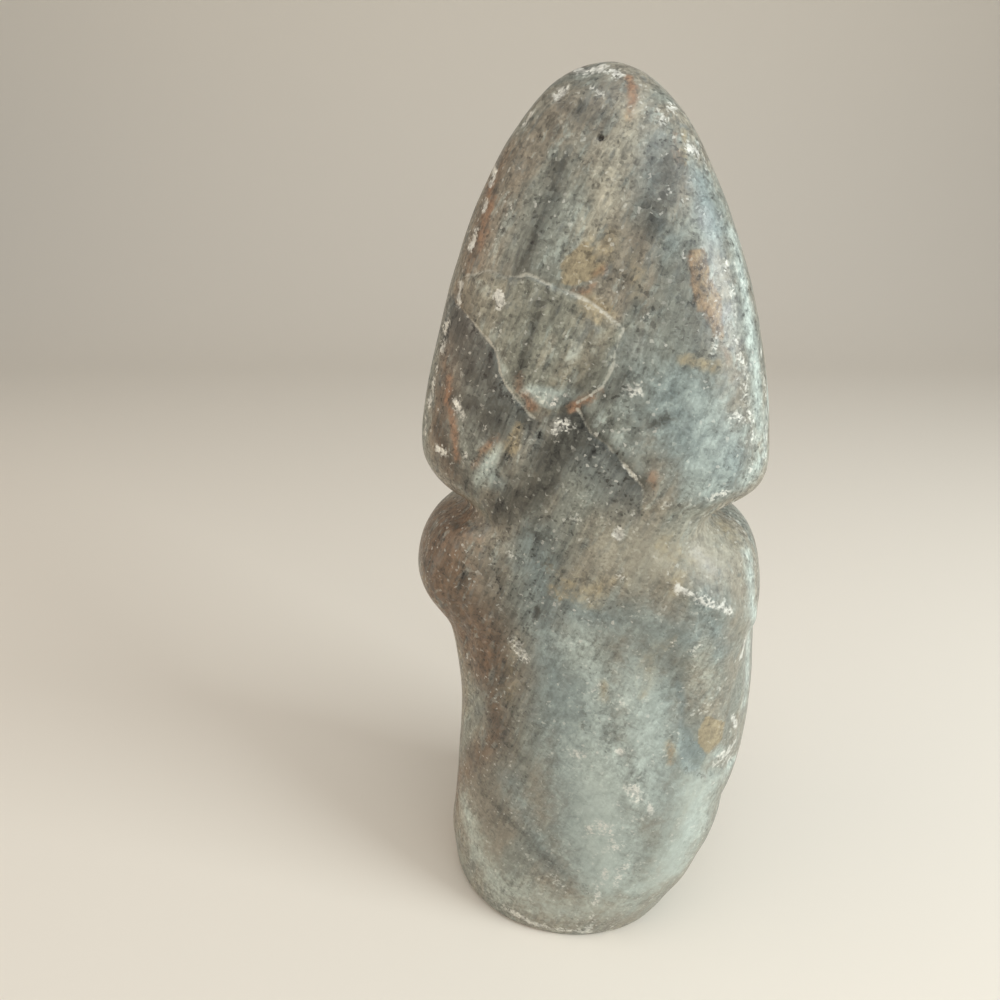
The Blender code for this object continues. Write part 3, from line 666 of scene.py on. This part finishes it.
class Shading:
    """Short names for the nodes of one material."""

    def __init__(self, name):
        self.material = bpy.data.materials.new(name)
        self.material.use_nodes = True
        self.nodes = self.material.node_tree.nodes
        self.links = self.material.node_tree.links
        self.shader = self.nodes["Principled BSDF"]

    def put(self, socket, value):
        if isinstance(value, bpy.types.NodeSocket):
            self.links.new(value, socket)
        else:
            socket.default_value = value

    def place(self, turn=(0.0, 0.0, 0.0), scale=(1.0, 1.0, 1.0)):
        coordinates = self.nodes.new("ShaderNodeTexCoord")
        mapping = self.nodes.new("ShaderNodeMapping")
        mapping.vector_type = "TEXTURE"
        mapping.inputs["Rotation"].default_value = turn
        mapping.inputs["Scale"].default_value = scale
        self.links.new(coordinates.outputs["Object"], mapping.inputs["Vector"])
        return mapping.outputs["Vector"]

    def noise(self, vector, wave_mm, detail=4.0, roughness=0.55, distortion=0.0):
        node = self.nodes.new("ShaderNodeTexNoise")
        self.links.new(vector, node.inputs["Vector"])
        node.inputs["Scale"].default_value = 1.0 / (wave_mm * MM)
        node.inputs["Detail"].default_value = detail
        node.inputs["Roughness"].default_value = roughness
        node.inputs["Distortion"].default_value = distortion
        return node.outputs["Fac"]

    def cells(self, vector, size_mm):
        """A random grey for each crystal of about this size."""
        node = self.nodes.new("ShaderNodeTexVoronoi")
        self.links.new(vector, node.inputs["Vector"])
        node.inputs["Scale"].default_value = 1.0 / (size_mm * MM)
        return node.outputs["Color"]

    def mark(self, name):
        node = self.nodes.new("ShaderNodeAttribute")
        node.attribute_name = name
        return node.outputs["Fac"]

    def sum(self, operation, first, second, third=0.0):
        node = self.nodes.new("ShaderNodeMath")
        node.operation = operation
        for socket, value in zip(node.inputs, (first, second, third)):
            self.put(socket, value)
        return node.outputs["Value"]

    def product(self, first, second):
        return self.sum("MULTIPLY", first, second)

    def larger(self, first, second):
        return self.sum("MAXIMUM", first, second)

    def swing(self, pattern, amount, base):
        """The base value, swung up and down by a pattern round its middle."""
        return self.sum("MULTIPLY_ADD", self.sum("SUBTRACT", pattern, 0.5), amount, base)

    def step(self, value, low, high, start=0.0, end=1.0):
        """A smooth step from start to end while the value goes from low to high."""
        node = self.nodes.new("ShaderNodeMapRange")
        node.interpolation_type = "SMOOTHSTEP"
        self.links.new(value, node.inputs["Value"])
        node.inputs["From Min"].default_value = low
        node.inputs["From Max"].default_value = high
        node.inputs["To Min"].default_value = start
        node.inputs["To Max"].default_value = end
        return node.outputs["Result"]

    def mix(self, share, first, second, blend="MIX"):
        node = self.nodes.new("ShaderNodeMix")
        node.data_type = "RGBA"
        node.blend_type = blend
        self.put(node.inputs["Factor"], share)
        self.put(node.inputs["A"], first)
        self.put(node.inputs["B"], second)
        return node.outputs["Result"]


# The stone's colours. Through the marks, CREAM_WHITE and PALE_GREEN also paint highlights and sheen,
# BROWN_GREY a warm reflection and shade, and DARK_FLECK and BLUE_GREY shade.
GREY_TAUPE = display_colour(142, 136, 121)
GREY_GREEN = display_colour(133, 136, 126)
BLUE_GREY = display_colour(127, 140, 138)
SLATE = display_colour(98, 104, 102)
BROWN_GREY = display_colour(116, 92, 70)
DARK_FLECK = display_colour(58, 57, 50)
PALE_GREEN = display_colour(182, 193, 185)
CREAM_WHITE = display_colour(208, 207, 198)
TAN_OCHRE = display_colour(158, 144, 114)
CHALKY_TAN = display_colour(172, 167, 149)
RUST_BROWN = display_colour(144, 108, 80)
FLAKE_OLIVE = display_colour(140, 138, 120)
BLACK_PIT = display_colour(20, 20, 18)
CRACK_PALE = display_colour(206, 203, 188)

BEDDING_TURN = math.radians(-22.0)   # the bands lean this far from upright, towards the figure's right hand
BEDDING_LENGTH = 3.6                 # how much longer than wide they are
STREAK_LENGTH = 7.0              # the same for the fine streaks
GRAIN_WARP_MM = 0.45             # how far the crystals' outlines are bent
GRAIN_WARP_WAVE_MM = 0.8


def ragged(s, mark, grain, mottle, low, high, breaking=1.9, graininess=0.55):
    """A mark's share of the colour, with its edge broken up by the mottling and the grain."""
    broken = s.swing(mottle, breaking, mark)
    broken = s.swing(grain, graininess, broken)
    return s.product(s.step(broken, low, high), s.step(mark, 0.02, 0.22))


def crystals(s, plain):
    """Coordinates bent by noise, so that the cells made on them have crooked outlines."""
    bend = s.nodes.new("ShaderNodeTexNoise")
    s.links.new(plain, bend.inputs["Vector"])
    bend.inputs["Scale"].default_value = 1.0 / (GRAIN_WARP_WAVE_MM * MM)
    bend.inputs["Detail"].default_value = 2.0
    bent = s.nodes.new("ShaderNodeVectorMath")
    bent.operation = "MULTIPLY_ADD"
    s.links.new(bend.outputs["Color"], bent.inputs[0])
    bent.inputs[1].default_value = (GRAIN_WARP_MM * MM,) * 3
    s.links.new(plain, bent.inputs[2])
    return bent.outputs["Vector"]


def stone_material():
    """Crystalline stone: leaning bands, mottling, dark and white grains, and the marks stored on the mesh."""
    s = Shading("crystalline_stone")
    plain = s.place()
    bands = s.place((0.0, BEDDING_TURN, 0.0), (1.0, 1.0, BEDDING_LENGTH))
    bent = crystals(s, plain)
    small = s.cells(bent, 0.42)
    large = s.cells(bent, 1.05)
    mottle = s.noise(plain, 2.3, 6.0, 0.66, 0.5)
    clouds = s.noise(plain, 9.0, 4.0, 0.55, 0.6)
    wide_bands = s.noise(bands, 10.0, 5.0, 0.60, 0.5)
    thin_bands = s.noise(bands, 2.2, 6.0, 0.66, 0.3)
    streaks = s.noise(s.place((0.0, BEDDING_TURN, 0.0), (1.0, 1.0, STREAK_LENGTH)), 0.9, 4.0, 0.60, 0.4)
    hidden = s.mark("hidden")

    colour = s.mix(s.step(wide_bands, 0.40, 0.60), GREY_TAUPE, GREY_GREEN)
    # The blue mark holds blue-grey stone, and also blue-grey painted shade in the forearm groove.
    blue = s.larger(s.mark("blue"), s.product(s.step(wide_bands, 0.50, 0.64, 0.0, 0.8), hidden))
    blue = s.swing(mottle, 0.6, blue)
    colour = s.mix(s.step(blue, 0.10, 0.80, 0.0, 0.90), colour, BLUE_GREY)
    # The warm mark holds brown stone, and along the left edges also a painted warm reflection and shade.
    warm = s.larger(s.mark("warm"), s.product(s.step(clouds, 0.50, 0.66, 0.0, 0.7), hidden))
    warm = s.swing(mottle, 0.6, warm)
    colour = s.mix(s.step(warm, 0.10, 0.95, 0.0, 0.92), colour, BROWN_GREY)
    colour = s.mix(s.product(s.mark("flake"), 0.45), colour, FLAKE_OLIVE)
    cream = s.swing(thin_bands, 1.0, s.mark("cream"))
    colour = s.mix(s.step(cream, 0.05, 0.85, 0.0, 0.90), colour, CHALKY_TAN)
    pale_cloud = s.product(s.step(wide_bands, 0.36, 0.24, 0.0, 0.7), hidden)
    # The pale mark holds pale stone, and also painted sheen and highlights on the right edges and the hand.
    pale = s.larger(s.mark("pale"), pale_cloud)
    pale_share = s.swing(mottle, 0.9, pale)
    colour = s.mix(s.step(pale_share, 0.10, 0.95, 0.0, 0.92), colour, PALE_GREEN)
    streaky = s.sum("SUBTRACT", 1.0, s.mark("calm"))
    colour = s.mix(s.product(s.step(thin_bands, 0.53, 0.66, 0.0, 0.62), streaky), colour, SLATE)
    colour = s.mix(s.product(s.step(thin_bands, 0.46, 0.35, 0.0, 0.40), streaky), colour, PALE_GREEN)

    shade = s.mark("shade")
    shaded = s.product(s.step(shade, 0.0, 0.9, 0.0, 0.74), s.step(clouds, 0.30, 0.62, 0.6, 1.0))
    colour = s.mix(shaded, colour, SLATE)
    dark_band = s.product(s.step(thin_bands, 0.60, 0.74), s.step(clouds, 0.44, 0.60))
    # The dark mark holds dark stone, and also painted shade on the left of the body, in the forearm groove,
    # under the hand and in the carved lines on the front.
    dark = s.larger(s.mark("dark"), s.product(dark_band, hidden))
    colour = s.mix(s.product(ragged(s, dark, small, mottle, 0.10, 0.90, 1.5, 0.7), 0.84), colour, DARK_FLECK)
    ochre_patch = s.product(s.step(s.noise(bands, 6.5, 3.0), 0.67, 0.76), hidden)
    ochre = s.larger(s.mark("ochre"), ochre_patch)
    ochre_share = ragged(s, ochre, thin_bands, mottle, 0.10, 0.75, 0.9, 0.9)
    colour = s.mix(s.product(ochre_share, 0.80), colour, TAN_OCHRE)
    rust_patch = s.product(s.step(s.noise(bands, 4.6, 3.0, 0.6), 0.67, 0.74), hidden)
    rust = s.larger(s.mark("rust"), rust_patch)
    rust_share = ragged(s, rust, thin_bands, mottle, 0.12, 0.85, 0.9, 0.8)
    colour = s.mix(s.product(rust_share, 0.80), colour, RUST_BROWN)
    # The white mark holds white crystals and chips, and also painted highlights and sheen along ridges and
    # edges.
    white = ragged(s, s.mark("white"), small, mottle, 0.26, 0.74, 1.5)
    colour = s.mix(s.product(white, 0.88), colour, CREAM_WHITE)

    contrast = s.sum("MULTIPLY_ADD", s.mark("calm"), -1.25, 1.35)
    contrast = s.sum("MULTIPLY_ADD", s.larger(dark, shade), 0.9, s.larger(contrast, 0.22))
    uneven = s.product(s.sum("SUBTRACT", small, 0.5), 0.46)
    uneven = s.swing(large, 0.34, uneven)
    uneven = s.swing(mottle, 1.20, uneven)
    uneven = s.swing(thin_bands, 0.75, uneven)
    uneven = s.swing(streaks, 1.10, uneven)
    tone = s.sum("MULTIPLY_ADD", uneven, contrast, 1.0)
    grey = s.nodes.new("ShaderNodeCombineColor")
    for channel in ("Red", "Green", "Blue"):
        s.links.new(tone, grey.inputs[channel])
    colour = s.mix(1.0, colour, grey.outputs["Color"], "MULTIPLY")

    cluster = s.step(s.sum("MULTIPLY_ADD", s.larger(shade, pale), 0.12, clouds), 0.38, 0.62, 0.40, 1.0)
    fleck = s.product(s.step(small, 0.78, 0.90), s.step(large, 0.52, 0.62))
    fleck = s.product(fleck, cluster)
    fleck = s.product(fleck, s.step(s.mark("calm"), 0.3, 1.0, 1.0, 0.60))
    speck_zone = s.sum("MULTIPLY_ADD", s.mark("warm"), 0.12, clouds)
    speck_zone = s.sum("MULTIPLY_ADD", s.larger(dark, shade), 0.35, speck_zone)
    speck = s.product(s.step(small, 0.24, 0.14), s.step(large, 0.62, 0.46))
    speck = s.product(speck, s.step(speck_zone, 0.46, 0.80, 0.06, 1.0))
    speck = s.product(speck, s.step(s.mark("calm"), 0.2, 0.9, 1.0, 0.35))
    colour = s.mix(s.product(speck, 0.62), colour, DARK_FLECK)
    colour = s.mix(s.product(fleck, 0.66), colour, CREAM_WHITE)

    crack = s.swing(mottle, 0.45, s.mark("crack"))
    crack_line = s.product(s.step(crack, 0.76, 0.96), s.step(small, 0.10, 0.40, 0.40, 1.0))
    crack_line = s.product(crack_line, s.step(s.noise(plain, 3.0, 3.0), 0.34, 0.58, 0.52, 0.84))
    colour = s.mix(crack_line, colour, CRACK_PALE)
    colour = s.mix(s.step(s.mark("pit"), 0.45, 0.80), colour, BLACK_PIT)
    s.links.new(colour, s.shader.inputs["Base Color"])

    rough = s.step(mottle, 0.30, 0.70, 0.34, 0.56)
    rough = s.swing(small, -0.16, rough)
    rough = s.sum("MULTIPLY_ADD", s.mark("cream"), 0.22, rough)
    s.links.new(rough, s.shader.inputs["Roughness"])
    s.shader.inputs["IOR"].default_value = 1.54
    s.shader.inputs["Coat Weight"].default_value = 0.18
    s.shader.inputs["Coat Roughness"].default_value = 0.24

    coarse_bump = s.nodes.new("ShaderNodeBump")
    coarse_bump.inputs["Distance"].default_value = 0.22 * MM
    coarse_bump.inputs["Strength"].default_value = 0.6
    s.links.new(mottle, coarse_bump.inputs["Height"])
    fine_bump = s.nodes.new("ShaderNodeBump")
    fine_bump.inputs["Distance"].default_value = 0.035 * MM
    fine_bump.inputs["Strength"].default_value = 0.7
    s.links.new(s.sum("ADD", small, large), fine_bump.inputs["Height"])
    s.links.new(coarse_bump.outputs["Normal"], fine_bump.inputs["Normal"])
    s.links.new(fine_bump.outputs["Normal"], s.shader.inputs["Normal"])
    return s.material


# The studio: a floor that curves up into a wall, both pale.
FLOOR_REACH = 1.4
WALL_DISTANCE = 0.9
WALL_HEIGHT = 1.6
COVE_RADIUS = 0.35
COVE_STEPS = 12
STUDIO_COLOUR = display_colour(238, 231, 219)


def studio():
    """One pale sheet, the floor and the wall behind the figure as the camera sees it."""
    away = Vector((-math.sin(CAMERA_TURN), math.cos(CAMERA_TURN), 0.0))
    right = Vector((away.y, -away.x, 0.0))
    profile = [(-FLOOR_REACH, 0.0), (WALL_DISTANCE - COVE_RADIUS, 0.0)]
    for step in range(1, COVE_STEPS + 1):
        turn = math.pi / 2.0 * step / COVE_STEPS
        level = COVE_RADIUS * (1.0 - math.cos(turn))
        profile.append((WALL_DISTANCE - COVE_RADIUS * (1.0 - math.sin(turn)), level))
    profile.append((WALL_DISTANCE, WALL_HEIGHT))
    corners = []
    for distance, level in profile:
        for side in (-FLOOR_REACH, FLOOR_REACH):
            corners.append(away * distance + right * side + Vector((0.0, 0.0, level)))
    faces = [(2 * i, 2 * i + 1, 2 * i + 3, 2 * i + 2) for i in range(len(profile) - 1)]
    data = bpy.data.meshes.new("pale_floor")
    data.from_pydata(corners, [], faces)
    data.shade_smooth()
    sheet = bpy.data.objects.new("pale_floor", data)
    bpy.context.scene.collection.objects.link(sheet)
    s = Shading("pale_studio")
    s.shader.inputs["Base Color"].default_value = STUDIO_COLOUR
    s.shader.inputs["Roughness"].default_value = 0.85
    data.materials.append(s.material)


# Soft lights: degrees round from the camera to its right, height, distance, size, watts, colour.
WINDOW = ("window", 61.0, 0.34, 0.55, 0.27, 2.7, (0.91, 0.98, 1.0))
CEILING = ("ceiling", 10.0, 0.75, 0.35, 0.60, 1.98, (1.0, 1.0, 0.99))
WARM_WALL = ("warm_wall", -76.0, 0.20, 0.60, 0.50, 1.0, (1.0, 0.78, 0.58))
SKY_COLOUR = (1.0, 0.99, 0.97, 1.0)
SKY_STRENGTH = 0.35
AIM_HEIGHT = 0.085


def lights():
    for name, degrees, height, distance, size, power, colour in (WINDOW, CEILING, WARM_WALL):
        data = bpy.data.lights.new(name, "AREA")
        data.shape = "RECTANGLE"
        data.size = size
        data.size_y = size
        data.energy = power
        data.color = colour
        light = bpy.data.objects.new(name, data)
        bpy.context.scene.collection.objects.link(light)
        turn = CAMERA_TURN + math.radians(degrees)
        light.location = (math.sin(turn) * distance, -math.cos(turn) * distance, height)
        aim = Vector((0.0, 0.0, AIM_HEIGHT)) - light.location
        light.rotation_euler = aim.to_track_quat("-Z", "Y").to_euler()
    world = bpy.data.worlds.new("pale_sky")
    world.use_nodes = True
    world.node_tree.nodes["Background"].inputs["Color"].default_value = SKY_COLOUR
    world.node_tree.nodes["Background"].inputs["Strength"].default_value = SKY_STRENGTH
    bpy.context.scene.world = world


def camera():
    data = bpy.data.cameras.new("camera")
    data.sensor_width = SENSOR_MM
    data.lens = FOCAL_PIXELS / PICTURE_SIZE * SENSOR_MM
    data.clip_start = 0.01
    view = bpy.data.objects.new("camera", data)
    bpy.context.scene.collection.objects.link(view)
    view.location = camera_axes()[0]
    view.rotation_euler = (math.pi / 2.0 - CAMERA_PITCH, 0.0, CAMERA_TURN)
    bpy.context.scene.camera = view


camera()
studio()
lights()
stone = fine_form(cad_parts["stone_warrior_figure"])
soften(stone, Places(stone.data))
places = Places(stone.data)
marks = carved_marks(places)
pits = pitted_marks(places)
divide_near_marks(stone, marks, pits)
carve(stone, marks, pits, places)
paint_marks(stone, places)
stone.data.materials.clear()
stone.data.materials.append(stone_material())
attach(stone, "root")
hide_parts("stone_warrior_figure")
bpy.context.scene.view_settings.view_transform = "Standard"
